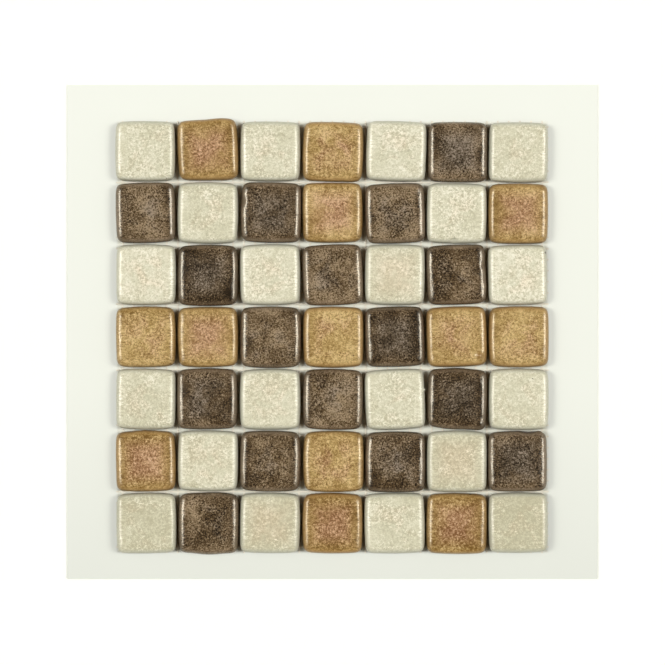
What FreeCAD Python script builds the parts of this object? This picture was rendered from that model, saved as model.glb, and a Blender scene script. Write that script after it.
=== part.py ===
import FreeCAD, Part
import math
import os
import random
from FreeCAD import Vector

# A sheet of mosaic wall and floor tile: forty-nine small glazed ceramic tiles with cushion edges,
# laid face up in seven rows of seven on an open glass-fibre net that holds them at an even joint.
# Millimetres. The sheet lies flat with the net down: X runs along a row, Y up the columns, Z up.
# The origin is under the middle of the sheet, at the underside of the net.

# One tile: a one inch square, pressed with round corners and a round all along its top edge
tile_size = 25.4
tile_thickness = 5.5
corner_radius = 2.6
shoulder_radius = 2.4

# The joint left open for grout between two tiles
joint_width = 1.6

# The net: flat coated yarns laid in two directions, one set on the other
yarn_width = 0.9
yarn_thickness = 0.25
net_opening = 3.9
net_overhang = 0.3

# Which glaze each tile has, row by row from the top of the sheet
layout = (
    "CTCTCBC",
    "BCBTBCT",
    "CBCBCBC",
    "TTBTBTT",
    "CBCBCBC",
    "TCBTBCB",
    "CBCTCTC",
)
glaze_names = {"C": "cream", "T": "tan", "B": "brown"}

# How far the tiles differ in size and stray from their places, as shares of the joint.
# A lean is how far half a tile's width swings out when the tile is turned.
size_share = 0.10
shift_share = 0.10
lean_share = 0.12
scatter_seed = 7

# Tiles that sit visibly off their places: (row, column): (right, up, lean) in joint widths,
# a positive lean turning the tile anticlockwise as seen from above
askew_tiles = {
    (1, 1): (-0.20, -0.20, 0.00),
    (1, 2): (-0.05, 0.25, 0.32),
    (1, 3): (0.05, -0.25, -0.05),
    (1, 4): (0.15, -0.44, -0.20),
    (1, 5): (0.50, -0.20, -0.20),
    (1, 6): (0.25, -0.45, -0.05),
    (1, 7): (-0.20, -0.50, -0.10),
    (2, 1): (-0.10, 0.00, 0.18),
    (2, 3): (0.35, 0.05, -0.15),
    (2, 5): (0.20, -0.20, 0.25),
    (2, 6): (-0.05, -0.20, -0.10),
    (2, 7): (-0.20, -0.30, -0.05),
    (3, 2): (-0.05, -0.20, 0.00),
    (3, 4): (0.10, 0.00, 0.30),
    (3, 6): (-0.10, 0.05, 0.24),
    (3, 7): (-0.40, 0.00, 0.15),
    (4, 4): (0.32, 0.00, 0.00),
    (4, 5): (0.05, 0.05, 0.26),
    (4, 6): (-0.10, 0.10, 0.22),
    (5, 2): (-0.30, 0.05, 0.05),
    (5, 4): (0.20, -0.05, -0.10),
    (5, 5): (0.10, 0.00, 0.30),
    (5, 6): (0.15, 0.10, -0.16),
    (6, 2): (0.00, 0.20, -0.10),
    (6, 4): (0.38, 0.00, 0.00),
    (6, 5): (0.20, -0.20, 0.00),
    (6, 7): (-0.40, 0.00, 0.05),
    (7, 1): (0.10, 0.05, 0.10),
    (7, 2): (0.20, 0.05, -0.10),
    (7, 3): (-0.15, 0.10, -0.10),
    (7, 4): (0.10, 0.00, -0.05),
    (7, 7): (-0.20, 0.20, 0.05),
}

# Worked out from the sizes above
row_count = len(layout)
column_count = len(layout[0])
module = tile_size + joint_width
sheet_width = column_count * module - joint_width
sheet_height = row_count * module - joint_width
net_thickness = 2 * yarn_thickness
yarn_pitch = yarn_width + net_opening


def shoulder_prism(size, radius):
    """A bar of the tile's section seen along Y: a block with a long round on its two top edges."""
    block = Part.makeBox(size, size, tile_thickness, Vector(-size / 2, -size / 2, 0))
    top_edges = []
    for edge in block.Edges:
        start, end = edge.Vertexes
        runs_along_y = abs(start.X - end.X) < 1e-6 and abs(start.Z - end.Z) < 1e-6
        if runs_along_y and start.Z > tile_thickness / 2:
            top_edges.append(edge)
    return block.makeFillet(radius, top_edges)


def cushion_tile(size):
    """One tile at the origin, on its back: flat top, a round shoulder on every side and round corners."""
    block = Part.makeBox(size, size, tile_thickness, Vector(-size / 2, -size / 2, 0))
    upright_edges = [edge for edge in block.Edges if abs(edge.Vertexes[0].Z - edge.Vertexes[1].Z) > 1e-6]
    tile = block.makeFillet(corner_radius, upright_edges)
    radius = min(shoulder_radius, 0.8 * tile_thickness)
    along_y = shoulder_prism(size, radius)
    along_x = along_y.copy()
    along_x.rotate(Vector(0, 0, 0), Vector(0, 0, 1), 90)
    return tile.common(along_y).common(along_x)


def tile_place(row, column, scatter):
    """The tile's size, the middle of its back and its turn in degrees, with its small errors of setting."""
    size = tile_size + size_share * joint_width * scatter.uniform(-1, 1)
    right = shift_share * scatter.uniform(-1, 1)
    up = shift_share * scatter.uniform(-1, 1)
    lean = lean_share * scatter.uniform(-1, 1)
    if (row, column) in askew_tiles:
        right, up, lean = askew_tiles[(row, column)]
    x = (column - (column_count + 1) / 2) * module + right * joint_width
    y = ((row_count + 1) / 2 - row) * module + up * joint_width
    turn = math.degrees(lean * joint_width / (tile_size / 2))
    return size, Vector(x, y, net_thickness), turn


def laid_yarns(across, length, level):
    """Flat yarns of one length along Y, side by side over the width across, the middle one on X = 0."""
    yarns_each_side = int((across - yarn_width) / 2 / yarn_pitch)
    yarns = []
    for index in range(-yarns_each_side, yarns_each_side + 1):
        corner = Vector(index * yarn_pitch - yarn_width / 2, -length / 2, level)
        yarns.append(Part.makeBox(yarn_width, length, yarn_thickness, corner))
    return Part.makeCompound(yarns)


def write_node(shape, name):
    shape.exportStep("parts/" + name + ".step")
    print(name, len(shape.Solids), "solids", round(shape.Volume), "cubic millimetres")


os.makedirs("parts", exist_ok=True)

# The tiles, each in its place on the net
scatter = random.Random(scatter_seed)
for row in range(1, row_count + 1):
    for column in range(1, column_count + 1):
        size, place, turn = tile_place(row, column, scatter)
        tile = cushion_tile(size)
        tile.rotate(Vector(0, 0, 0), Vector(0, 0, 1), turn)
        tile.translate(place)
        glaze = glaze_names[layout[row - 1][column - 1]]
        write_node(tile, f"tile_r{row}_c{column}_{glaze}")

# The net: yarns up the columns at the bottom, and yarns along the rows laid on them, under the tiles
warp_yarns = laid_yarns(sheet_width, sheet_height + 2 * net_overhang, 0)
write_node(warp_yarns, "net_warp_yarns")
weft_yarns = laid_yarns(sheet_height, sheet_width + 2 * net_overhang, yarn_thickness)
weft_yarns.rotate(Vector(0, 0, 0), Vector(0, 0, 1), 90)
write_node(weft_yarns, "net_weft_yarns")
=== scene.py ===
# %% [markdown]
# # A sheet of cushion-edged ceramic mosaic
# The object is forty-nine small glazed tiles held on a glass-fibre net. The solids are already made and
# packed, at their real size, and this lesson dresses them: it never moves or resizes them. Each tile gets a
# modelled piece that stands for its solid, and so does each set of yarns. Everything is in metres, in the
# same frame as the solids: the sheet lies on the floor, X along a row, Y up the columns, Z up.

# %% Load the frame
import math
import random

import bmesh
import bpy
from mathutils import Matrix, Vector


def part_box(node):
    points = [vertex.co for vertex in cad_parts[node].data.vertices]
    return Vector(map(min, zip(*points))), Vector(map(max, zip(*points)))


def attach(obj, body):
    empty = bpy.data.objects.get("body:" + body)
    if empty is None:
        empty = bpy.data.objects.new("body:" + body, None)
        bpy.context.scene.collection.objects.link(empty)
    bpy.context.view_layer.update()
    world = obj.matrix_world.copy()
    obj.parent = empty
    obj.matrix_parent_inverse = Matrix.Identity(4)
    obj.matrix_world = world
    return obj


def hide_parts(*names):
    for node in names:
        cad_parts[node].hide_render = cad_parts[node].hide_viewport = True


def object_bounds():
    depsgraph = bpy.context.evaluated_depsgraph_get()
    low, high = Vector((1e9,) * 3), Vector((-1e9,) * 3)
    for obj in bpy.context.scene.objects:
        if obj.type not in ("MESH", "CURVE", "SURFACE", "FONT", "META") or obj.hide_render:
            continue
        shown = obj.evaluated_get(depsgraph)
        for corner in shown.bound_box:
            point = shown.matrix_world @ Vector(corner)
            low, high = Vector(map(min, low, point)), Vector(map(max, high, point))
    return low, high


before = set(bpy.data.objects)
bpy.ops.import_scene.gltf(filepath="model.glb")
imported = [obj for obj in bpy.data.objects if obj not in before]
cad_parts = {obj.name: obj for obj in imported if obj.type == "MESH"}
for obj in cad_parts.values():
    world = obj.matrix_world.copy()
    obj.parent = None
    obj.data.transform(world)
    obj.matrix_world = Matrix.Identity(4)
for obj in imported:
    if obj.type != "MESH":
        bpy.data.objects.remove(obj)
cad_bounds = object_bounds()
MM = 0.001
TINY = 1e-6
bpy.ops.object.select_all(action="DESELECT")
print("the solids reach", [round(size / MM, 1) for size in cad_bounds[1]], "mm")

# %% [markdown]
# ## Small helpers
# Operators work on what is selected, so most steps start by selecting just the right vertices or edges, by
# their place. Modifiers are applied as soon as they are added, so that the next step works on real points.


# %% Helpers for selecting and modifying
def only(piece):
    """Makes one piece the selected and active object."""
    bpy.ops.object.select_all(action="DESELECT")
    piece.select_set(True)
    bpy.context.view_layer.objects.active = piece


def select_vertices(piece, test):
    """In edit mode, selects the vertices whose place passes the test, and what lies between them."""
    bpy.ops.mesh.select_mode(type="VERT")
    bpy.ops.mesh.select_all(action="DESELECT")
    mesh = bmesh.from_edit_mesh(piece.data)
    for vertex in mesh.verts:
        vertex.select = test(vertex.co)
    mesh.select_flush(True)
    bmesh.update_edit_mesh(piece.data)


def apply_modifier(piece, kind, **settings):
    """Adds a modifier with its settings and applies it to the mesh at once."""
    modifier = piece.modifiers.new(kind.lower(), kind)
    for name, value in settings.items():
        setattr(modifier, name, value)
    only(piece)
    bpy.ops.object.modifier_apply(modifier=modifier.name)


def bake_place(piece):
    """Turns an object's place, turn and scale into its points, so that its own axes are the sheet's."""
    only(piece)
    bpy.ops.object.transform_apply(location=True, rotation=True, scale=True)


# %% [markdown]
# ## Helpers for finishes
# Colours are picked as sRGB hex values, and Blender wants linear light, so one function turns them. One more
# adds a shader node: a value is set on its socket, and another node's socket is linked to it.


# %% Helpers for colours and nodes
def linear(hex_colour):
    """A hex sRGB colour as linear red, green, blue and alpha."""
    channels = [int(hex_colour[i : i + 2], 16) / 255 for i in (1, 3, 5)]
    return [c / 12.92 if c <= 0.04045 else ((c + 0.055) / 1.055) ** 2.4 for c in channels] + [1.0]


def add(tree, kind, inputs=(), stops=(), **settings):
    """Adds one node. inputs maps a socket's name or number to a value or to the socket that feeds it."""
    node = tree.nodes.new(kind)
    for name, value in settings.items():
        setattr(node, name, value)
    for name, value in dict(inputs).items():
        if isinstance(value, bpy.types.NodeSocket):
            tree.links.new(value, node.inputs[name])
        else:
            node.inputs[name].default_value = value
    for index, (place, hex_colour) in enumerate(stops):
        stop = node.color_ramp.elements[index] if index < 2 else node.color_ramp.elements.new(place)
        stop.position = place
        stop.color = linear(hex_colour)
    return node


def empty_material(name):
    """A new material and its node tree, with no node in it."""
    material = bpy.data.materials.new(name)
    material.use_nodes = True
    material.node_tree.nodes.clear()
    return material, material.node_tree


# %% [markdown]
# ## Where each tile lies
# The tiles were set by hand, so each is a little larger or smaller, off its place and turned. All of that is
# in the solids. A tile's flat side tells its turn, and its corners tell its width, so nothing is typed twice.


# %% Read the tiles' places from the solids
LOOKS_RIGHT = 0.95
MOST_LEAN = 0.01


def row_and_column(node):
    """A tile's row and column, read from its name: 2 and 5 for tile_r2_c5_brown."""
    return int(node[6]), int(node[9])


def short_name(node):
    """The part of a tile's name that says its place: r2_c5 for tile_r2_c5_brown."""
    return node[5:10]


def measure(node):
    """The middle of a tile's back, its width, its height and its turn."""
    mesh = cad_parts[node].data
    upright = [
        face for face in mesh.polygons if face.normal.x > LOOKS_RIGHT and abs(face.normal.z) < MOST_LEAN
    ]
    side = max(upright, key=lambda face: face.area).normal
    reach = [corner.co.x * side.x + corner.co.y * side.y for corner in mesh.vertices]
    low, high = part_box(node)
    middle = Vector(((low[0] + high[0]) / 2, (low[1] + high[1]) / 2, low[2]))
    return middle, max(reach) - min(reach), high[2] - low[2], math.atan2(side.y, side.x)


tile_nodes = sorted(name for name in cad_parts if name.startswith("tile_"))
places = {name: measure(name) for name in tile_nodes}
TILE = sum(place[1] for place in places.values()) / len(places)
THICK = places[tile_nodes[0]][2]
print(len(places), "tiles, mean width", round(TILE / MM, 2), "mm, thickness", round(THICK / MM, 2), "mm")

# %% [markdown]
# ## One cushion-edged tile
# The real tile is clay dust pressed in a steel die, so its corners and its face edge are round and its back is
# flat. The glaze melts over it and softens every edge further. A box is cut close to its corners, its top edge
# is bevelled to the round of the shoulder, and then it is subdivided: the surface follows the box, stays flat
# between the cuts and rounds over at them. A sculpted tile would be as soft, but no two edges would keep the
# same round. The bottom edge is creased, because the back of the tile is pressed sharp and stays bare.

# %% Round a box into the tile
SHOULDER = 2.6 * MM
CORNER_CUT = 5.2 * MM
SKIRT_CUT = 1.2 * MM
half = TILE / 2


def on_side(co):
    """Whether a point is on one of the box's four sides."""
    return max(abs(co.x), abs(co.y)) > half - TINY


bpy.ops.mesh.primitive_cube_add(size=1, location=(0, 0, THICK / 2), scale=(TILE, TILE, THICK))
model = bpy.context.object
model.name = "tile_model"
bake_place(model)
bpy.ops.object.mode_set(mode="EDIT")
for axis in ((1, 0, 0), (0, 1, 0)):
    for place in (CORNER_CUT - half, 0, half - CORNER_CUT):
        bpy.ops.mesh.select_all(action="SELECT")
        bpy.ops.mesh.bisect(plane_co=[place * part for part in axis], plane_no=axis)
bpy.ops.mesh.select_all(action="SELECT")
bpy.ops.mesh.bisect(plane_co=(0, 0, SKIRT_CUT), plane_no=(0, 0, 1))
select_vertices(model, lambda co: co.z > THICK - TINY and on_side(co))
bpy.ops.mesh.bevel(offset=SHOULDER, segments=3, profile=0.5, affect="EDGES")
select_vertices(model, lambda co: co.z < TINY and on_side(co))
bpy.ops.transform.edge_crease(value=1.0)
bpy.ops.object.mode_set(mode="OBJECT")
apply_modifier(model, "SUBSURF", levels=3, render_levels=3)
print("the round tile is", [round(size / MM, 2) for size in model.dimensions], "mm")

# %% [markdown]
# ## The ribs on its back
# The lower half of the die leaves shallow grooves, which key the tile into its adhesive. The back already
# has fine rows of points, so the rows that lie in a groove are only pushed in. That costs no new faces.

# %% Press the grooves
RIB_PITCH = 4.2 * MM
RIB_DEPTH = 0.35 * MM
PLAIN_SIDE = 2.5 * MM
PLAIN_END = 2.0 * MM
GROOVE_EDGE = 0.05
SHARP_EDGE = math.radians(38)


def in_groove(co):
    """Whether a point of the back lies in a groove, clear of the plain strips along the tile's edges."""
    clear = abs(co.x) < half - PLAIN_SIDE and abs(co.y) < half - PLAIN_END
    return co.z < TINY and clear and math.cos(2 * math.pi * co.x / RIB_PITCH) < GROOVE_EDGE


bpy.ops.object.mode_set(mode="EDIT")
select_vertices(model, in_groove)
bpy.ops.transform.translate(value=(0, 0, RIB_DEPTH))
bpy.ops.object.mode_set(mode="OBJECT")
bpy.ops.object.shade_smooth_by_angle(angle=SHARP_EDGE)
print("one tile has", len(model.data.polygons), "faces")

# %% [markdown]
# ## What the glaze needs to know
# A reactive glaze looks different at the rim, where it runs thin, than in the middle, where it pools. So each
# vertex remembers where it is on its own tile: across, up and above the back. A painted mask could say that
# too, but numbers from the shape itself are sharper and fit all the tiles. The vertex group says how much of
# the kiln's waviness a point takes: all of it on the face, none on the back.

# %% Store the place on the tile
face_group = model.vertex_groups.new(name="glazed_face")
for vertex in model.data.vertices:
    rise = min(max((vertex.co.z - SKIRT_CUT) / (THICK - SKIRT_CUT), 0), 1)
    face_group.add([vertex.index], rise, "REPLACE")
on_tile = model.data.attributes.new("on_tile", "FLOAT_VECTOR", "POINT")
for vertex, stored in zip(model.data.vertices, on_tile.data):
    stored.vector = (vertex.co.x / half, vertex.co.y / half, vertex.co.z / THICK)
print("stored the place of", len(model.data.vertices), "points")

# %% [markdown]
# ## The soft cage
# No pressed and fired tile has straight sides: they belly out between the corners, and on these tiles more at
# the top and bottom, where they nearly touch, than at left and right. A lattice is the tool for that. It is
# a coarse cage around the tile, and when its points move by a fraction of a millimetre, the tile follows
# smoothly. Each side bellies by a share of the joint beside it, so that two neighbours never meet.

# %% Set up the cage
CAGE_POINTS = 4
bpy.ops.object.add(type="LATTICE", location=(0, 0, THICK / 2))
cage = bpy.context.object
cage.name = "soft_cage"
cage.scale = (TILE, TILE, THICK)
cage.data.points_u = CAGE_POINTS
cage.data.points_v = CAGE_POINTS
cage.data.points_w = 2
print("the cage has", len(cage.data.points), "points")

# %% [markdown]
# ## Room to belly in
# How far a side may belly depends on the joint beside it, and the joints differ from tile to tile. So they
# are measured between the solids, and no tile has to be told about its neighbours by hand.

# %% Measure the joints
OUTER_JOINT = 0.9 * MM
grid = {row_and_column(node): node for node in tile_nodes}


def joint_beside(node):
    """How much room each side of a tile has: left, right, bottom and top. An outer side takes a set share."""
    row, column = row_and_column(node)
    low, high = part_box(node)
    joints = []
    for axis, step in ((0, -1), (0, 1), (1, -1), (1, 1)):
        beside = (row, column + step) if axis == 0 else (row - step, column)
        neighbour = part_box(grid[beside]) if beside in grid else None
        if neighbour is None:
            joints.append(OUTER_JOINT)
        else:
            joints.append(neighbour[0][axis] - high[axis] if step > 0 else low[axis] - neighbour[1][axis])
    return joints


narrowest = min(min(joint_beside(node)) for node in tile_nodes)
print("the narrowest joint, between the boxes of two solids, is", round(narrowest / MM, 2), "mm")

# %% [markdown]
# ## Bending the cage
# The points in the middle of a side move outwards, the corner points are tucked in and the face's outer
# points sink, so its middle stands a little proud. Every point also wanders a little by chance. Scaling the
# tile would move all of it alike, and the cage moves each part by its own amount.

# %% Bend the cage
SIDE_BOW = 0.45
END_BOW = 0.63
LEAST_BOW = 0.82
CORNER_TUCK = 0.05 * MM
WANDER = 0.10 * MM
CROWN = 0.42 * MM
LEAST_CROWN = 0.6
MOST_CROWN = 1.2
BACK_SHARE = 0.8


def pose_cage(node, kiln):
    """Moves the cage's points for one tile: bellied sides, tucked corners, a slight crown and some chance."""
    last = CAGE_POINTS - 1
    shares = (SIDE_BOW, SIDE_BOW, END_BOW, END_BOW)
    left, right, bottom, top = (
        joint * share * kiln.uniform(LEAST_BOW, 1) for joint, share in zip(joint_beside(node), shares)
    )
    for index, point in enumerate(cage.data.points):
        column = index % CAGE_POINTS
        row = index // CAGE_POINTS % CAGE_POINTS
        face = index // CAGE_POINTS**2
        across = -1 if column == 0 else 1 if column == last else 0
        up = -1 if row == 0 else 1 if row == last else 0
        move = Vector((kiln.uniform(-1, 1), kiln.uniform(-1, 1), 0)) * WANDER
        if across and up:
            move += Vector((-across, -up, 0)) * CORNER_TUCK
        elif across:
            move.x += right if across > 0 else -left
        elif up:
            move.y += top if up > 0 else -bottom
        else:
            move = Vector((0, 0, 0))
        if face and (across or up):
            move.z -= CROWN * kiln.uniform(LEAST_CROWN, MOST_CROWN)
        if not face:
            move *= BACK_SHARE
        scale = cage.scale
        point.co_deform = point.co + Vector((move.x / scale.x, move.y / scale.y, move.z / scale.z))


# %% [markdown]
# ## Kiln marks
# A few tiles show a mark of their own: a notch in the rim, a drop of glaze that ran, a ragged edge, a foot
# where the glaze flowed down. They could be sculpted by hand. Here each is one pull on the surface with a soft
# reach, as with a sculptor's thumb, because a list of pulls can be read and changed. It says where on the
# tile, which way and how far each reaches, in millimetres from the middle of the tile's back.

# %% List the marks
kiln_marks = {
    "r1_c2": [((6, 12.4, 4), (0, 0.5, 0), 8), ((8, -12.5, 1), (0.2, -0.5, 0), 8)],
    "r2_c3": [((-12.4, 5, 4), (0.5, 0, -0.2), 3), ((-12.4, 0, 4), (-0.2, 0, 0), 3)],
    "r2_c6": [((-0.9, -12.0, 5), (0, 1.3, -0.5), 1.6)],
    "r3_c6": [((12.2, 4, 4), (-0.4, 0, -0.2), 3), ((12.2, -5, 4), (0.25, 0, 0), 3)],
    "r4_c6": [((9.6, -8.2, 5.3), (0.1, -0.1, 1.0), 2.4)],
    "r5_c5": [((12.7, 3.5, 4), (0.9, 0, 0), 1.0)],
    "r5_c6": [
        ((11.5, -12.5, 3), (0, -0.7, 0), 9),
        ((-11, -12.5, 3), (0, 0.4, 0), 8),
        ((0, 12.6, 3), (0, 0.3, 0), 9),
    ],
    "r6_c1": [((0, 12.6, 3), (0, 0.3, 0), 9)],
    "r6_c7": [((4.5, 12.6, 2.8), (0, -0.7, -0.2), 5), ((9.5, 12.4, 3), (0, 0.5, 0), 2.5)],
    "r7_c2": [((0, -12.6, 0.8), (0, -0.5, 0), 9), ((5, 12.6, 3), (0, 0.3, 0), 8)],
}


def pull(piece, at, by, reach):
    """Pulls the surface nearest to a place, and what lies within reach of it, fading outwards."""
    target = Vector(at) * MM
    nearest = min(piece.data.vertices, key=lambda vertex: (vertex.co - target).length).co.copy()
    bpy.ops.object.mode_set(mode="EDIT")
    select_vertices(piece, lambda co: (co - nearest).length < TINY / 10)
    bpy.ops.transform.translate(
        value=Vector(by) * MM,
        use_proportional_edit=True,
        proportional_edit_falloff="SMOOTH",
        proportional_size=reach * MM,
    )
    bpy.ops.object.mode_set(mode="OBJECT")


print(len(kiln_marks), "tiles have", sum(len(marks) for marks in kiln_marks.values()), "marks of their own")

# %% [markdown]
# ## Waviness of the melt
# Melted glaze never lies quite even. Two cloud textures push the face up and down: a broad one that bends the
# long highlights on the shoulders, and a fine one that makes them waver. On a few tiles a third one breaks
# them up. They are read at the place on the sheet, so no two tiles share a wave.


# %% Make the waves
BROAD_LIFT = 0.30 * MM
FINE_LIFT = 0.09 * MM
RAGGED_LIFT = 0.14 * MM


def clouds(name, size):
    """A soft random pattern whose spots are about as large as the size."""
    texture = bpy.data.textures.new(name, "CLOUDS")
    texture.noise_scale = size
    return texture


broad_wave = clouds("broad_wave", 7 * MM)
fine_wave = clouds("fine_wave", 2.2 * MM)
ragged_wave = clouds("ragged_wave", 1.2 * MM)
ragged_tiles = ("r3_c6", "r5_c6", "r6_c5", "r6_c7")
print("from trough to crest the waves reach", round((BROAD_LIFT + FINE_LIFT) / MM, 2), "mm at most")

# %% [markdown]
# ## Luck in the kiln, and painted shade on the bottom row
# Where the kiln was hottest the glaze came out deeper, elsewhere paler, and on some tiles it pooled in the
# middle and took on a flush of another tint. The clearest of these are named by row and column, and some went
# further one way or the other. Most of the bottom row is listed deeper too, which paints the shade of the
# light falling off towards the bottom. The rest get an even tone with a little chance in it. A tile keeps its
# luck, with that shade, as three chance numbers in an attribute, where the glaze can read them.

# %% Name the clearest firings and the bottom row's painted shade
DEEP = (0.0, 0.2)
MIDDLING = (0.4, 0.6)
PALE = (0.65, 0.85)
FLUSHED = (0.9, 1.2)
UNFLUSHED = (0.0, 0.4)
# Painted shade: the bottom-row tiles in this list are deep partly for the light falling off towards the
# bottom.
deep_and_bottom_shade = (
    "r1_c2", "r3_c2", "r4_c5", "r5_c6", "r6_c1", "r6_c6", "r7_c1", "r7_c3", "r7_c4", "r7_c6", "r7_c7",
)
fired_pale = (
    "r1_c4", "r1_c5", "r1_c6", "r2_c1", "r2_c4", "r2_c5", "r2_c6", "r3_c1", "r3_c3", "r3_c4", "r3_c7",
    "r4_c1", "r4_c3", "r4_c4", "r4_c6", "r4_c7", "r5_c4", "r7_c2",
)
flushed = (
    "r1_c2", "r1_c6", "r2_c3", "r2_c4", "r2_c7", "r3_c2", "r3_c5", "r4_c2", "r4_c5", "r5_c2", "r5_c6",
    "r6_c1", "r6_c6", "r6_c7", "r7_c3", "r7_c4", "r7_c6",
)
# Painted shade: r7_c7 goes deeper partly for the light falling off towards the bottom.
further_and_bottom_shade = {
    "r1_c6": -0.15, "r1_c7": 0.20, "r2_c5": 0.15, "r3_c4": 0.30, "r3_c6": -0.13,
    "r4_c5": -0.22, "r4_c6": 0.20, "r5_c6": -0.13, "r6_c7": -0.13, "r7_c7": -0.28,
}


def luck_and_bottom_shade(node, kiln):
    """A tile's three chance numbers: how pale it is, how much it flushed, and how thin its rim is. On the
    bottom row the deep tiles' paleness is partly painted shade.
    """
    pale = kiln.uniform(*MIDDLING)
    if short_name(node) in deep_and_bottom_shade:
        pale = kiln.uniform(*DEEP)
    elif short_name(node) in fired_pale:
        pale = kiln.uniform(*PALE)
    pale += further_and_bottom_shade.get(short_name(node), 0)
    flush = kiln.uniform(*FLUSHED) if short_name(node) in flushed else kiln.uniform(*UNFLUSHED)
    return [pale, flush, kiln.random()]


# The deep ones include bottom-row tiles darkened as painted shade.
print(len(deep_and_bottom_shade), "tiles came out deep,", len(fired_pale), "pale and", len(flushed), "flushed")

# %% [markdown]
# ## Setting the tiles
# Every tile starts as a copy of the one model, as every real one comes out of the same die. Then it is bent,
# marked, laid where its solid lies and made wavy. The luck comes from one seeded source of chance, read in the
# order of the tiles' names, so the sheet is the same each time.


# %% Set all the tiles
def set_tile(node, kiln):
    """Copies the model, shapes it as that one tile, lays it where the solid is and makes it wavy."""
    middle, width, _, turn = places[node]
    piece = model.copy()
    piece.data = model.data.copy()
    piece.name = node + "_glazed"
    bpy.context.collection.objects.link(piece)
    pose_cage(node, kiln)
    apply_modifier(piece, "LATTICE", object=cage)
    for at, by, reach in kiln_marks.get(short_name(node), ()):
        pull(piece, at, by, reach)
    size = width / TILE
    turned = Matrix.Rotation(turn, 4, "Z") @ Matrix.Diagonal((size, size, 1, 1))
    piece.matrix_world = Matrix.Translation(middle) @ turned
    bake_place(piece)
    waves = [(broad_wave, BROAD_LIFT), (fine_wave, FINE_LIFT)]
    if short_name(node) in ragged_tiles:
        waves.append((ragged_wave, RAGGED_LIFT))
    for wave, lift in waves:
        apply_modifier(
            piece, "DISPLACE", texture=wave, strength=lift, mid_level=0.5, vertex_group="glazed_face"
        )
    luck_and_shade = piece.data.attributes.new("luck_and_shade", "FLOAT_VECTOR", "POINT")
    luck_and_shade.data.foreach_set("vector", luck_and_bottom_shade(node, kiln) * len(piece.data.vertices))
    return piece


kiln = random.Random(41)
tiles = {}
for node in tile_nodes:
    tiles[node] = set_tile(node, kiln)
for helper in (model, cage):
    bpy.data.objects.remove(helper)
print("set", len(tiles), "tiles")

# %% [markdown]
# ## The backing net
# The net is glass-fibre roving, dipped in a white resin coat. The coat runs into the crossings, so each flat
# yarn is a little wider there and slimmer between. One length between two crossings is modelled, from a
# tube pressed flat, and repeated along the yarn and then across the sheet by two arrays. A curve with a flat
# section would be quicker, but it couldn't widen at each crossing.


# %% Model one length of yarn
YARN_WIDTH = 0.9 * MM
SLIM_SHARE = 0.88
COAT_SHARE = 1.04
CROSSING_SWELL = 1.16
SWELL_REACH = 0.3
CROSSING_REACH = 0.1


def yarn_length(pitch, thickness):
    """One length of yarn along Y with a crossing in its middle: an open tube, flat and wider there."""
    bpy.ops.mesh.primitive_cylinder_add(
        vertices=6, radius=0.5, depth=1, end_fill_type="NOTHING", rotation=(math.pi / 2, 0, 0)
    )
    yarn = bpy.context.object
    bake_place(yarn)
    yarn.scale = (YARN_WIDTH * SLIM_SHARE, pitch, thickness * COAT_SHARE)
    bake_place(yarn)
    bpy.ops.object.mode_set(mode="EDIT")
    for place in (-SWELL_REACH, 0, SWELL_REACH):
        bpy.ops.mesh.select_all(action="SELECT")
        bpy.ops.mesh.bisect(plane_co=(0, place * pitch, 0), plane_no=(0, 1, 0))
    select_vertices(yarn, lambda co: abs(co.y) < CROSSING_REACH * pitch)
    bpy.ops.transform.resize(value=(CROSSING_SWELL, 1, 1))
    bpy.ops.object.mode_set(mode="OBJECT")
    return yarn


def repeat(piece, count, step, merge):
    """Repeats a piece by an even step, centres the row, and merges the points where two copies meet."""
    apply_modifier(
        piece,
        "ARRAY",
        count=count,
        use_relative_offset=False,
        use_constant_offset=True,
        constant_offset_displace=step,
        use_merge_vertices=merge,
        merge_threshold=0.01 * MM,
    )
    piece.location = [-(count - 1) * part / 2 for part in step]
    bake_place(piece)


def close_ends(yarn, end, reach):
    """Moves the open ends of a yarn from where they are to its full reach and closes them."""
    bpy.ops.object.mode_set(mode="EDIT")
    for side in (-1, 1):
        select_vertices(yarn, lambda co: co.y * side > end - TINY)
        bpy.ops.transform.translate(value=(0, side * (reach - end), 0))
        bpy.ops.mesh.edge_face_add()
    bpy.ops.object.mode_set(mode="OBJECT")


# %% [markdown]
# ## Two sets of yarns
# The net is laid, not pulled tight, so its yarns drift a little from side to side. A broad cloud texture
# moves them, sideways only. Both sets are made by the same function, and the one along the rows is turned.


# %% Lay the yarns
YARN_DRIFT = 0.5 * MM
YARN_COUNT = len(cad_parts["net_warp_yarns"].data.polygons) // 12
ROUND_EDGE = math.radians(60)
yarn_drift = clouds("yarn_drift", 22 * MM)


def lay_yarns(node, along):
    """All the yarns of one direction as one piece, in the box of their solids. along is 0 for X or 1 for Y."""
    low, high = (Vector(corner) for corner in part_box(node))
    across = 1 - along
    run = high[along] - low[along]
    spread = high[across] - low[across]
    pitch = (spread - YARN_WIDTH) / (YARN_COUNT - 1)
    crossings = int(run / pitch)
    yarn = yarn_length(pitch, high.z - low.z)
    repeat(yarn, crossings, (0, pitch, 0), merge=True)
    close_ends(yarn, crossings * pitch / 2, run / 2)
    repeat(yarn, YARN_COUNT, (pitch, 0, 0), merge=False)
    if along == 0:
        yarn.rotation_euler = (0, 0, math.pi / 2)
    yarn.location = (0, 0, (low.z + high.z) / 2)
    bake_place(yarn)
    sideways = "Y" if along == 0 else "X"
    apply_modifier(
        yarn, "DISPLACE", texture=yarn_drift, strength=YARN_DRIFT, mid_level=0.5, direction=sideways
    )
    bpy.ops.object.shade_smooth_by_angle(angle=ROUND_EDGE)
    yarn.name = node + "_coated"
    return yarn


warp = lay_yarns("net_warp_yarns", along=1)
weft = lay_yarns("net_weft_yarns", along=0)
print(YARN_COUNT, "yarns each way,", len(warp.data.polygons), "faces a set")

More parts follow.
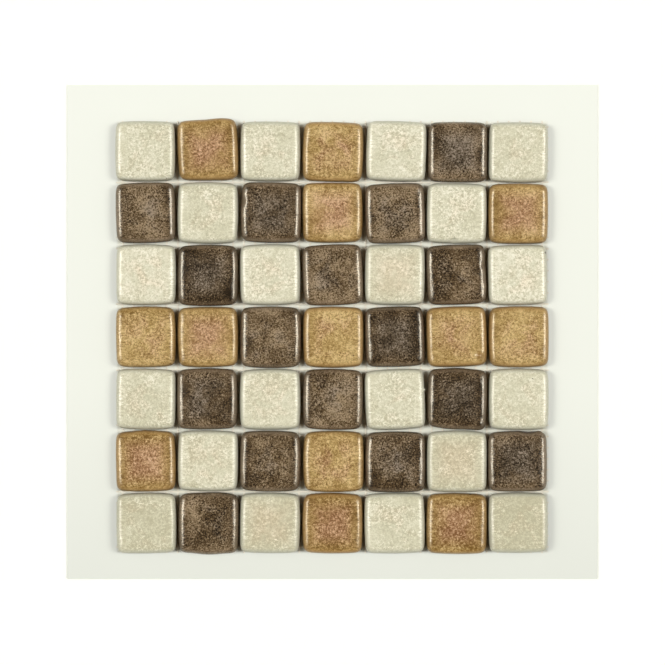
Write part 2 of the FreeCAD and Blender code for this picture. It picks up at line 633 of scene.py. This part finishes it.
# %% [markdown]
# ## Reactive glaze on stoneware
# All three colours are one kind of finish: a glossy reactive glaze over a pressed stoneware body. In the fire
# it breaks into fine light and dark specks, clouds of another tint drift through it, and it runs thin
# and smooth over the rim. An image of a glaze would repeat on every tile, so this one is made of noise, at its
# real size. Each of the next cells adds one thing that the fire does, and each colour is a recipe for them.
# They share one dictionary, melt, which holds the sockets that later steps need, starting with the place.


# %% Find the place on the sheet and on the tile
def find_place(tree):
    """Where a point is on the sheet in millimetres and on its own tile, and the tile's chance numbers."""
    place = add(tree, "ShaderNodeTexCoord").outputs["Object"]
    in_mm = add(tree, "ShaderNodeVectorMath", {0: place, "Scale": 1 / MM}, operation="SCALE").outputs[0]
    on_tile = add(tree, "ShaderNodeAttribute", attribute_name="on_tile").outputs["Vector"]
    luck_and_shade = add(tree, "ShaderNodeAttribute", attribute_name="luck_and_shade").outputs["Vector"]
    across = add(tree, "ShaderNodeSeparateXYZ", {0: on_tile}).outputs
    chance = add(tree, "ShaderNodeSeparateXYZ", {0: luck_and_shade}).outputs
    side = add(tree, "ShaderNodeMath", {0: across[0]}, operation="ABSOLUTE").outputs[0]
    end = add(tree, "ShaderNodeMath", {0: across[1]}, operation="ABSOLUTE").outputs[0]
    edge = add(tree, "ShaderNodeMath", {0: side, 1: end}, operation="MAXIMUM").outputs[0]
    return {
        "in_mm": in_mm,
        "side": side,
        "edge": edge,
        "height": across[2],
        "pale": chance[0],
        "flushed": chance[1],
        "thin": chance[2],
    }


# %% [markdown]
# ## Specks
# The iron in the glaze gathers into specks of about 0.9 mm, and 0.4 mm for the finest. Beside the left and
# right edges the glaze ran outwards and drew them into short strokes, so the noise is squeezed there. In some
# parts of a tile they stand out more than in others.

# %% Break the glaze into specks
FINE_SPECK = 2.1
FINE_SHARE = 0.35
STROKE = (0.45, 1.5, 1.0)
STROKES_FROM = 0.55
STROKES_TO = 0.85
CLOUD = 0.11
ELSEWHERE = (90, 40, 0)
CLOUD_LOW = 0.35
CLOUD_HIGH = 0.65


def break_into_specks(tree, melt, recipe):
    """Adds the specks as values around a half, the finest alone, the zone of strokes and a far cloud."""
    in_mm = melt["in_mm"]
    round_specks = add(
        tree,
        "ShaderNodeTexNoise",
        {"Vector": in_mm, "Scale": recipe["speck"], "Detail": 2.0, "Roughness": 0.65, "Distortion": 0.5},
    ).outputs[0]
    drawn = add(tree, "ShaderNodeVectorMath", {0: in_mm, 1: STROKE}, operation="MULTIPLY").outputs[0]
    stroke_specks = add(
        tree,
        "ShaderNodeTexNoise",
        {"Vector": drawn, "Scale": recipe["speck"], "Detail": 2.0, "Roughness": 0.65},
    ).outputs[0]
    near_side = add(
        tree,
        "ShaderNodeMapRange",
        {0: melt["side"], 1: STROKES_FROM, 2: STROKES_TO},
        interpolation_type="SMOOTHSTEP",
    ).outputs[0]
    specks = add(tree, "ShaderNodeMix", {0: near_side, 2: round_specks, 3: stroke_specks}).outputs[0]
    fine_specks = add(
        tree, "ShaderNodeTexNoise", {"Vector": in_mm, "Scale": FINE_SPECK, "Detail": 1.0}
    ).outputs[0]
    specks = add(tree, "ShaderNodeMix", {0: FINE_SHARE, 2: specks, 3: fine_specks}).outputs[0]
    drifted = add(tree, "ShaderNodeVectorMath", {0: in_mm, 1: ELSEWHERE}, operation="ADD").outputs[0]
    far_cloud = add(
        tree, "ShaderNodeTexNoise", {"Vector": drifted, "Scale": CLOUD, "Detail": 2.0, "Distortion": 0.8}
    ).outputs[0]
    contrast = add(
        tree,
        "ShaderNodeMapRange",
        {0: far_cloud, 1: CLOUD_LOW, 2: CLOUD_HIGH, 3: 1 - recipe["uneven"], 4: 1 + recipe["uneven"]},
    ).outputs[0]
    specks = add(tree, "ShaderNodeMath", {0: specks, 1: -0.5}, operation="ADD").outputs[0]
    specks = add(tree, "ShaderNodeMath", {0: specks, 1: contrast, 2: 0.5}, operation="MULTIPLY_ADD").outputs[0]
    melt.update(specks=specks, fine_specks=fine_specks, near_side=near_side, far_cloud=far_cloud)


# %% [markdown]
# ## Tone
# One number says how light the glaze is at each point, from its darkest speck to its lightest: the specks,
# the clouds that drift across a tile, how pale the tile came out (on the bottom row partly painted shade), and
# the shade of its sides. Colour ramps turn it into colours later, so all the colours of a tile change
# together, as they do in the fire.


# %% Add up the tone
def add_up_tone(tree, melt, recipe):
    """Adds the tone: the specks, with the clouds, the tile's own tone (on the bottom row partly painted
    shade) and its darker sides on top.
    """
    cloud = add(
        tree,
        "ShaderNodeTexNoise",
        {"Vector": melt["in_mm"], "Scale": CLOUD, "Detail": 2.0, "Distortion": 0.4},
    ).outputs[0]
    drift = add(tree, "ShaderNodeMath", {0: cloud, 1: -0.5}, operation="ADD").outputs[0]
    tile_tone_and_shade = add(tree, "ShaderNodeMath", {0: melt["pale"], 1: -0.5}, operation="ADD").outputs[0]
    tone = melt["specks"]
    for part, share in (
        (drift, recipe["cloud"]),
        (tile_tone_and_shade, recipe["own_tone"]),
        (melt["near_side"], -recipe["side_shade"]),
    ):
        tone = add(tree, "ShaderNodeMath", {0: part, 1: share, 2: tone}, operation="MULTIPLY_ADD").outputs[0]
    melt.update(cloud=cloud, tone=tone)


# %% [markdown]
# ## The pool
# The melt pools in the middle of some tiles and takes on a flush there. So a tile has two ramps of colour, and
# the second comes in towards its middle, by the tile's luck and where the far cloud is high.

# %% Colour the pool
POOL_EDGE = 0.95
POOL_FULL = 0.25
FLUSH_LUCK = 0.35
FLUSH_FROM = 0.5
FLUSH_TO = 0.85


def colour_pool(tree, melt, recipe):
    """The colour of the glaze on the flat of the tile, with its flush in the middle."""
    main = add(tree, "ShaderNodeValToRGB", {0: melt["tone"]}, stops=recipe["main"]).outputs[0]
    flush = add(tree, "ShaderNodeValToRGB", {0: melt["tone"]}, stops=recipe["flush"]).outputs[0]
    pool = add(
        tree,
        "ShaderNodeMapRange",
        {0: melt["edge"], 1: POOL_EDGE, 2: POOL_FULL},
        interpolation_type="SMOOTHSTEP",
    ).outputs[0]
    luck = add(
        tree,
        "ShaderNodeMath",
        {0: melt["flushed"], 1: FLUSH_LUCK, 2: melt["far_cloud"]},
        operation="MULTIPLY_ADD",
    ).outputs[0]
    luck = add(tree, "ShaderNodeMapRange", {0: luck, 1: FLUSH_FROM, 2: FLUSH_TO}).outputs[0]
    flush_share = add(tree, "ShaderNodeMath", {0: luck, 1: pool}, operation="MULTIPLY").outputs[0]
    return add(tree, "ShaderNodeMix", {0: flush_share, 6: main, 7: flush}, data_type="RGBA").outputs[2]


# %% [markdown]
# ## The rim, partly painted light and shade
# At the rim the glaze is thin and smooth and has a colour of its own, with a wavering edge towards the specks.
# Its tones also paint the shade and reflection on the shoulder: greyer on the cream, lighter on the brown.
# Below the shoulder the glaze is thinnest, and a thin darker line runs around the tile, partly the dark body
# showing through and partly painted shade at the foot of the shoulder. The place on the tile drives both,
# because the round of the shoulder is the same on every tile.

# %% Thin the rim
RIM_WAVER = 0.10
THIN_LINE_FULL = 0.78
THIN_LINE_END = 0.92


def thin_rim(tree, melt, glaze, recipe):
    """The glaze's colour with its smooth rim, whose tones are partly painted shade and light, and with
    the thin darker line below its shoulder, partly painted shade.
    """
    waver = add(
        tree, "ShaderNodeMath", {0: melt["specks"], 1: RIM_WAVER, 2: melt["edge"]}, operation="MULTIPLY_ADD"
    ).outputs[0]
    rim_and_painted_light = add(
        tree,
        "ShaderNodeMapRange",
        {0: waver, 1: recipe["rim_from"], 2: recipe["rim_to"]},
        interpolation_type="SMOOTHSTEP",
    ).outputs[0]
    own_rim = add(
        tree, "ShaderNodeMapRange", {0: melt["thin"], 3: recipe["rim_least"], 4: recipe["rim_most"]}
    ).outputs[0]
    rim_share = add(tree, "ShaderNodeMath", {0: rim_and_painted_light, 1: own_rim}, operation="MULTIPLY").outputs[0]
    # Painted shade and light: the rim's tones partly stand for shade and reflection on the shoulder.
    rim_tint_and_painted_light = add(tree, "ShaderNodeValToRGB", {0: melt["tone"]}, stops=recipe["rim_and_painted_light"]).outputs[0]
    glaze = add(tree, "ShaderNodeMix", {0: rim_share, 6: glaze, 7: rim_tint_and_painted_light}, data_type="RGBA").outputs[2]

    # Painted shade, partly the dark body: the glaze darkens in a thin line below the shoulder.
    shown = add(
        tree,
        "ShaderNodeMapRange",
        {0: melt["height"], 1: THIN_LINE_FULL, 2: THIN_LINE_END, 3: 1 - recipe["thin_line_and_shade"]},
    ).outputs[0]
    return add(tree, "ShaderNodeVectorMath", {0: glaze, "Scale": shown}, operation="SCALE").outputs[0]


# %% [markdown]
# ## Flecks and the bare foot
# Single flecks and pinholes each have their place on the sheet: they are round spots, mixed in where the
# distance to that place is small. Below the glaze line, near the back, the stoneware body is bare and rough,
# because the tile stood on the kiln shelf there. Its dark colour and the high glaze line stand partly for the
# body and partly for painted shade deep in the joints between the tiles.

# %% Add the flecks and bare the foot
FLECK_CORE = 0.4
# Painted shade: the bare body reaches high and is dark, partly its own colour and partly the shade deep in the
# joints.
GLAZE_LINE = 0.44
LINE_WAVER = 0.16
LINE_WIDTH = 0.04
GRIT = 3.0
BODY_AND_JOINT_SHADE = ((0.35, "#4a2f18"), (0.65, "#6e4c2c"))
BISQUE_ROUGHNESS = 0.85


def add_flecks(tree, melt, glaze, recipe):
    """The glaze's colour with the recipe's flecks on it."""
    flat = add(tree, "ShaderNodeVectorMath", {0: melt["in_mm"], 1: (1, 1, 0)}, operation="MULTIPLY").outputs[0]
    for right, up, radius, tint in recipe["flecks"]:
        reach = add(
            tree, "ShaderNodeVectorMath", {0: flat, 1: (right, up, 0)}, operation="DISTANCE"
        ).outputs["Value"]
        share = add(tree, "ShaderNodeMapRange", {0: reach, 1: radius, 2: radius * FLECK_CORE}).outputs[0]
        glaze = add(tree, "ShaderNodeMix", {0: share, 6: glaze, 7: linear(tint)}, data_type="RGBA").outputs[2]
    return glaze


def bare_foot(tree, melt, glaze, recipe):
    """The colour and the roughness of the tile, with bare stoneware below the wavering glaze line, dark
    partly as painted shade in the joints.
    """
    line = add(
        tree, "ShaderNodeMath", {0: melt["cloud"], 1: LINE_WAVER, 2: melt["height"]}, operation="MULTIPLY_ADD"
    ).outputs[0]
    glazed = add(
        tree, "ShaderNodeMapRange", {0: line, 1: GLAZE_LINE, 2: GLAZE_LINE + LINE_WIDTH}
    ).outputs[0]
    grit = add(tree, "ShaderNodeTexNoise", {"Vector": melt["in_mm"], "Scale": GRIT, "Detail": 3.0}).outputs[0]
    body_and_joint_shade = add(tree, "ShaderNodeValToRGB", {0: grit}, stops=BODY_AND_JOINT_SHADE).outputs[0]
    colour = add(tree, "ShaderNodeMix", {0: glazed, 6: body_and_joint_shade, 7: glaze}, data_type="RGBA").outputs[2]
    roughness = add(
        tree, "ShaderNodeMix", {0: glazed, 2: BISQUE_ROUGHNESS, 3: recipe["roughness"]}
    ).outputs[0]
    return colour, roughness


# %% [markdown]
# ## The finished glaze
# The melt has a faint orange peel, and the specks stand up in it by a few hundredths of a millimetre. That is
# too fine for the mesh, so it is bump. A reactive glaze is rich in metal oxides and bends light more than
# window glass, so its index is higher and its highlights are strong.

# %% Put the glaze together
PEEL = 1.1
PEEL_HEIGHT = 0.10 * MM
PEEL_STRENGTH = 0.6
SPECK_HEIGHT = 0.04 * MM
SPECK_STRENGTH = 0.4


def reactive_glaze(name, recipe):
    """A glossy glaze with specks, drifting clouds and a smooth rim, bare stoneware below its edge."""
    material, tree = empty_material(name)
    melt = find_place(tree)
    break_into_specks(tree, melt, recipe)
    add_up_tone(tree, melt, recipe)
    glaze = colour_pool(tree, melt, recipe)
    glaze = thin_rim(tree, melt, glaze, recipe)
    glaze = add_flecks(tree, melt, glaze, recipe)
    colour, roughness = bare_foot(tree, melt, glaze, recipe)
    peel = add(tree, "ShaderNodeTexNoise", {"Vector": melt["in_mm"], "Scale": PEEL, "Detail": 2.0}).outputs[0]
    skin = add(
        tree, "ShaderNodeBump", {"Height": peel, "Strength": PEEL_STRENGTH, "Distance": PEEL_HEIGHT}
    ).outputs[0]
    skin = add(
        tree,
        "ShaderNodeBump",
        {
            "Height": melt["fine_specks"],
            "Strength": SPECK_STRENGTH,
            "Distance": SPECK_HEIGHT,
            "Normal": skin,
        },
    ).outputs[0]
    shader = add(
        tree,
        "ShaderNodeBsdfPrincipled",
        {
            "Base Color": colour,
            "Roughness": roughness,
            "IOR": recipe["ior"],
            "Specular Tint": linear(recipe["gloss"]),
            "Normal": skin,
        },
    )
    add(tree, "ShaderNodeOutputMaterial", {"Surface": shader.outputs[0]})
    return material


# %% [markdown]
# ## Ivory cream
# The cream is an ivory matt-white glaze over a buff body, so its specks are faint and its thin rim is greyer,
# partly painted shade and reflection of the dark joint beside it. A recipe gives a glaze's tones as colours at
# noise values, and each fleck as its place right and up, its radius in mm and its colour. speck is how close
# the specks lie, and uneven is how much their contrast changes. cloud, own_tone and side_shade are shares in
# the tone; the tile's own tone is partly painted shade on the bottom row. The rim lies between rim_from and
# rim_to, and is thinned by a share from rim_least to rim_most. The rim's tones partly paint shade and light on
# the shoulder, and the thin line below it, partly painted shade, darkens the glaze by its share. gloss is the
# tint of the highlights.

# %% Mix the cream glaze
cream_glaze = reactive_glaze(
    "ivory_reactive_glaze",
    {
        "main": ((0.36, "#c0bb9e"), (0.67, "#fffceb"), (0.51, "#dddac0")),
        "flush": ((0.36, "#c4b798"), (0.67, "#fff5e0"), (0.51, "#dfd5ba")),
        "flecks": (
            (-71.9, 68.7, 0.35, "#8f8a74"),
            (86.7, -18.0, 0.30, "#3a3428"),
            (92.4, 36.6, 0.60, "#5a5648"),
        ),
        # Painted shade and reflection: the rim's tones are greyer, partly for the dark joint beside the
        # shoulder.
        "rim_and_painted_light": ((0.30, "#c0c0ad"), (0.70, "#d4d3c0")),
        "speck": 0.95,
        "uneven": 0.45,
        "cloud": 0.17,
        "own_tone": 0.14,
        "side_shade": 0.0,
        "rim_from": 0.86,
        "rim_to": 1.02,
        "thin_line_and_shade": 0.10,
        "rim_least": 0.8,
        "rim_most": 1.0,
        "roughness": 0.30,
        "ior": 1.64,
        "gloss": "#fffaf2",
    },
)
print(cream_glaze.name, "has", len(cream_glaze.node_tree.nodes), "nodes")

# %% [markdown]
# ## Golden tan
# The tan is an iron glaze that breaks from olive gold to rose where it pools.

# %% Mix the tan glaze
tan_glaze = reactive_glaze(
    "tan_reactive_glaze",
    {
        "main": ((0.367, "#775927"), (0.633, "#dfc48d"), (0.50, "#b0925a")),
        "flush": ((0.367, "#7f5735"), (0.633, "#e0bc9a"), (0.50, "#b58e69")),
        "flecks": (
            (9.1, -8.0, 0.55, "#6b4c1e"),
            (63.8, -8.0, 2.0, "#9c7844"),
            (59.8, -67.9, 0.90, "#2b1d10"),
        ),
        "rim_and_painted_light": ((0.30, "#a07c48"), (0.70, "#bf9c67")),
        "speck": 1.0,
        "uneven": 0.25,
        "cloud": 0.28,
        "own_tone": 0.08,
        "side_shade": 0.03,
        "rim_from": 0.84,
        "rim_to": 1.00,
        "thin_line_and_shade": 0.26,
        "rim_least": 0.5,
        "rim_most": 1.0,
        "roughness": 0.28,
        "ior": 1.73,
        "gloss": "#fff6e2",
    },
)
print(tan_glaze.name, "has", len(tan_glaze.node_tree.nodes), "nodes")

# %% [markdown]
# ## Dark brown
# The brown is rich in iron and manganese: nearly black specks with grey ones between, and a taupe rim that
# is partly painted light on the shoulder.

# %% Mix the brown glaze
brown_glaze = reactive_glaze(
    "brown_reactive_glaze",
    {
        "main": ((0.38, "#180c00"), (0.63, "#a89376"), (0.50, "#5a472f")),
        "flush": ((0.375, "#22180c"), (0.625, "#9d8f80"), (0.50, "#615444")),
        "flecks": (),
        # Painted light: the rim's tones are a lighter taupe, partly for light reflected on the shoulder.
        "rim_and_painted_light": ((0.30, "#6d5d4a"), (0.70, "#94816b")),
        "speck": 1.4,
        "uneven": 0.25,
        "cloud": 0.32,
        "own_tone": 0.09,
        "side_shade": 0.04,
        "rim_from": 0.84,
        "rim_to": 1.00,
        "thin_line_and_shade": 0.33,
        "rim_least": 0.45,
        "rim_most": 1.0,
        "roughness": 0.27,
        "ior": 1.81,
        "gloss": "#fff7e6",
    },
)
print(brown_glaze.name, "has", len(brown_glaze.node_tree.nodes), "nodes")

# %% [markdown]
# ## Glazing the tiles
# A tile's name ends in its colour, so the name picks the glaze. The same lines hide the solid that each piece
# stands for, and make the piece move with the sheet.

# %% Glaze the tiles
glazes = {
    "cream": (cream_glaze, "glaze_cream"),
    "tan": (tan_glaze, "glaze_tan"),
    "brown": (brown_glaze, "glaze_brown"),
}
for node, piece in tiles.items():
    material, slot = glazes[node.rsplit("_", 1)[1]]
    piece.data.materials.append(material)
    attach(piece, "root")
    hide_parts(node)
print("glazed", len(tiles), "tiles")

# %% [markdown]
# ## Resin-coated glass fibre
# The roving is a bundle of straight glass filaments under a thin white coat: dull, slightly translucent, with
# fine lines along the yarn. The lines are drawn at 0.12 mm, coarser than real filaments, so that they show.


# %% Coat the yarns
FILAMENT = 1 / (0.12 * MM)
ALONG_FILAMENT = 1 / (4 * MM)
RIDGE_HEIGHT = 0.05 * MM
RIDGE_STRENGTH = 0.5
COAT = ((0.35, "#e6e2d3"), (0.65, "#fffbea"))
COAT_ROUGHNESS = 0.42


def coated_roving(name, stretch):
    """White resin coat over parallel filaments. stretch squeezes the pattern across the yarn."""
    material, tree = empty_material(name)
    place = add(tree, "ShaderNodeTexCoord").outputs["Object"]
    drawn = add(tree, "ShaderNodeVectorMath", {0: place, 1: stretch}, operation="MULTIPLY").outputs[0]
    lines = add(tree, "ShaderNodeTexNoise", {"Vector": drawn, "Scale": 1.0, "Detail": 2.0}).outputs[0]
    colour = add(tree, "ShaderNodeValToRGB", {0: lines}, stops=COAT).outputs[0]
    ridges = add(
        tree, "ShaderNodeBump", {"Height": lines, "Strength": RIDGE_STRENGTH, "Distance": RIDGE_HEIGHT}
    ).outputs[0]
    shader = add(
        tree,
        "ShaderNodeBsdfPrincipled",
        {"Base Color": colour, "Roughness": COAT_ROUGHNESS, "Normal": ridges},
    )
    add(tree, "ShaderNodeOutputMaterial", {"Surface": shader.outputs[0]})
    return material


warp.data.materials.append(coated_roving("coated_roving_warp", (FILAMENT, ALONG_FILAMENT, FILAMENT)))
weft.data.materials.append(coated_roving("coated_roving_weft", (ALONG_FILAMENT, FILAMENT, FILAMENT)))
for piece, node in ((warp, "net_warp_yarns"), (weft, "net_weft_yarns")):
    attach(piece, "root")
    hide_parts(node)
print("coated", warp.name, "and", weft.name)

# %% [markdown]
# ## Board and floor
# The sheet lies on a pale matt board on a white floor, and both are matt paint. The board is darker towards
# the bottom, which paints the shade of the light falling off that way. The sheet's shadow on them is very
# pale, so beside the sheet a share of the paint is replaced by a little light of its own, which only the
# camera and mirror rays see. It adds no light to the tiles, and none of it lies under the sheet.


# %% Mix the paint
PAINT_ROUGHNESS = 0.9
SHEET = cad_bounds[1][0] - cad_bounds[0][0]
BOARD_WIDTH = 230.6 * MM
BOARD_HEIGHT = 215.0 * MM


def matt_surface(name, stops, beside, glow):
    """A matt colour that changes by its stops from the bottom of the board to its top; on the board they
    paint the shade of the light falling off towards the bottom. Beside the sheet it is darker by one share
    and shows a share of plain white in its place, so that the shadow stays pale there."""
    material, tree = empty_material(name)
    place = add(tree, "ShaderNodeTexCoord").outputs["Object"]
    across = add(tree, "ShaderNodeSeparateXYZ", {0: place}).outputs
    rise = add(tree, "ShaderNodeMapRange", {0: across[1], 1: -BOARD_HEIGHT / 2, 2: BOARD_HEIGHT / 2})
    colour = add(tree, "ShaderNodeValToRGB", {0: rise.outputs[0]}, stops=stops).outputs[0]
    right = add(tree, "ShaderNodeMath", {0: across[0]}, operation="ABSOLUTE").outputs[0]
    up = add(tree, "ShaderNodeMath", {0: across[1]}, operation="ABSOLUTE").outputs[0]
    away = add(tree, "ShaderNodeMath", {0: right, 1: up}, operation="MAXIMUM").outputs[0]
    away = add(tree, "ShaderNodeMapRange", {0: away, 1: SHEET / 2 - MM, 2: SHEET / 2}).outputs[0]
    shade = add(tree, "ShaderNodeMapRange", {0: away, 3: 1.0, 4: beside}).outputs[0]
    base = add(tree, "ShaderNodeVectorMath", {0: colour, "Scale": shade}, operation="SCALE").outputs[0]
    ray = add(tree, "ShaderNodeLightPath").outputs
    mirrored = add(
        tree, "ShaderNodeMath", {0: ray["Is Glossy Ray"], 1: ray["Is Transmission Ray"]}, operation="MAXIMUM"
    ).outputs[0]
    seen = add(tree, "ShaderNodeMath", {0: ray["Is Camera Ray"], 1: mirrored}, operation="MAXIMUM").outputs[0]
    white = add(tree, "ShaderNodeMath", {0: seen, 1: away}, operation="MULTIPLY").outputs[0]
    white = add(tree, "ShaderNodeMath", {0: white, 1: glow}, operation="MULTIPLY").outputs[0]
    surface = add(
        tree,
        "ShaderNodeBsdfPrincipled",
        {
            "Base Color": base,
            "Roughness": PAINT_ROUGHNESS,
            "Emission Color": linear("#fafffb"),
            "Emission Strength": white,
        },
    )
    add(tree, "ShaderNodeOutputMaterial", {"Surface": surface.outputs[0]})
    return material


# %% [markdown]
# ## Laying them
# The board is a thin card, a little larger than the sheet and a little above its middle. The floor is so
# large that its edge never shows, and it lies just below the card, because two faces at one height flicker.

# %% Lay the board and the floor
BOARD_UP = 2.2 * MM
BOARD_THICKNESS = 0.5 * MM
FLOOR_DROP = 0.02 * MM
FLOOR_SIZE = 12

bpy.ops.mesh.primitive_grid_add(
    x_subdivisions=2, y_subdivisions=2, size=FLOOR_SIZE, location=(0, 0, -BOARD_THICKNESS - FLOOR_DROP)
)
floor = bpy.context.object
floor.name = "white_floor"
bake_place(floor)
floor.data.materials.append(
    matt_surface("white_paint", ((0.0, "#f4f5ec"), (1.0, "#f4f5ec")), beside=0.9, glow=0.3)
)
bpy.ops.mesh.primitive_cube_add(
    size=1, location=(0, BOARD_UP, -BOARD_THICKNESS / 2), scale=(BOARD_WIDTH, BOARD_HEIGHT, BOARD_THICKNESS)
)
board = bpy.context.object
board.name = "pale_board"
bake_place(board)
# Painted shade: the card is darker at the bottom, for the lamps' light falling off that way.
board.data.materials.append(
    matt_surface("pale_card", ((0.0, "#dcded2"), (1.0, "#f4f6ea"), (0.4, "#eff1e5")), beside=0.65, glow=0.35)
)
print("the board is", [round(size / MM, 1) for size in board.dimensions], "mm")

# %% [markdown]
# ## Lamps
# Soft lamps stand to the left and right, two on each side, one above the other: they draw the two long
# highlights on every tile, light the joints along the rows from end to end and leave the joints up the
# columns dark. Sun lamps with a wide angle do this evenly over the whole floor. Area lamps would light the
# tiles close to them more than the others.

# %% Light the sheet
LAMP_ELEVATIONS = (math.radians(45), math.radians(55))
LAMP_TURN = math.radians(5)
LAMP_SIZE = math.radians(17)
LAMP_STRENGTH = 0.77
LAMP_COLOUR = (1.0, 0.985, 0.95)
for side, name in ((-1, "left"), (1, "right")):
    for elevation, level in zip(LAMP_ELEVATIONS, ("low", "high")):
        slope = math.pi / 2 - elevation
        bpy.ops.object.light_add(type="SUN", rotation=(0, side * slope, side * LAMP_TURN))
        lamp = bpy.context.object
        lamp.name = f"soft_lamp_{name}_{level}"
        lamp.data.energy = LAMP_STRENGTH
        lamp.data.angle = LAMP_SIZE
        lamp.data.color = LAMP_COLOUR
        print("lit", lamp.name)

# %% [markdown]
# ## The room
# What a glaze mirrors is as important as what lights it. The world is a room that is pale low down and on the
# two lamp sides, and dark overhead, so the glaze keeps its depth.

# %% Make the room
OVERHEAD = "#37280f"
LAMP_SIDES = "#dcdcd6"
WALLS = "#f1f1eb"
SIDES_FROM = 0.30
SIDES_TO = 0.85
WALLS_FROM = 0.20
WALLS_TO = 0.12
world = bpy.data.worlds.new("studio")
world.use_nodes = True
tree = world.node_tree
tree.nodes.clear()
direction = add(tree, "ShaderNodeTexCoord").outputs["Generated"]
towards = add(tree, "ShaderNodeSeparateXYZ", {0: direction}).outputs
sideways = add(tree, "ShaderNodeMath", {0: towards[0]}, operation="ABSOLUTE").outputs[0]
beside = add(tree, "ShaderNodeMapRange", {0: sideways, 1: SIDES_FROM, 2: SIDES_TO}).outputs[0]
low_down = add(tree, "ShaderNodeMapRange", {0: towards[2], 1: WALLS_FROM, 2: WALLS_TO}).outputs[0]
room = add(
    tree, "ShaderNodeMix", {0: beside, 6: linear(OVERHEAD), 7: linear(LAMP_SIDES)}, data_type="RGBA"
).outputs[2]
room = add(tree, "ShaderNodeMix", {0: low_down, 6: room, 7: linear(WALLS)}, data_type="RGBA").outputs[2]
background = add(tree, "ShaderNodeBackground", {"Color": room, "Strength": 1.0})
add(tree, "ShaderNodeOutputWorld", {"Surface": background.outputs[0]})
bpy.context.scene.world = world
print("made the world", world.name)

# %% [markdown]
# ## Camera
# The sheet is seen from straight above, and the tiles' sides don't show, not even at its edges. So the camera
# stands far off with a long lens. Its distance follows from the width that the picture shows.

# %% Place the camera
FRAME_WIDTH = 288.2 * MM
LENS = 200
SENSOR = 36
VIEW_X = 0.04 * MM
VIEW_Y = 1.95 * MM
height = FRAME_WIDTH * LENS / SENSOR + THICK
bpy.ops.object.camera_add(location=(VIEW_X, VIEW_Y, height), rotation=(0, 0, 0))
camera = bpy.context.object
camera.data.lens = LENS
camera.data.sensor_width = SENSOR
bpy.context.scene.camera = camera
bpy.context.scene.view_settings.view_transform = "Standard"
print("the camera stands", round(height, 2), "m above the floor")
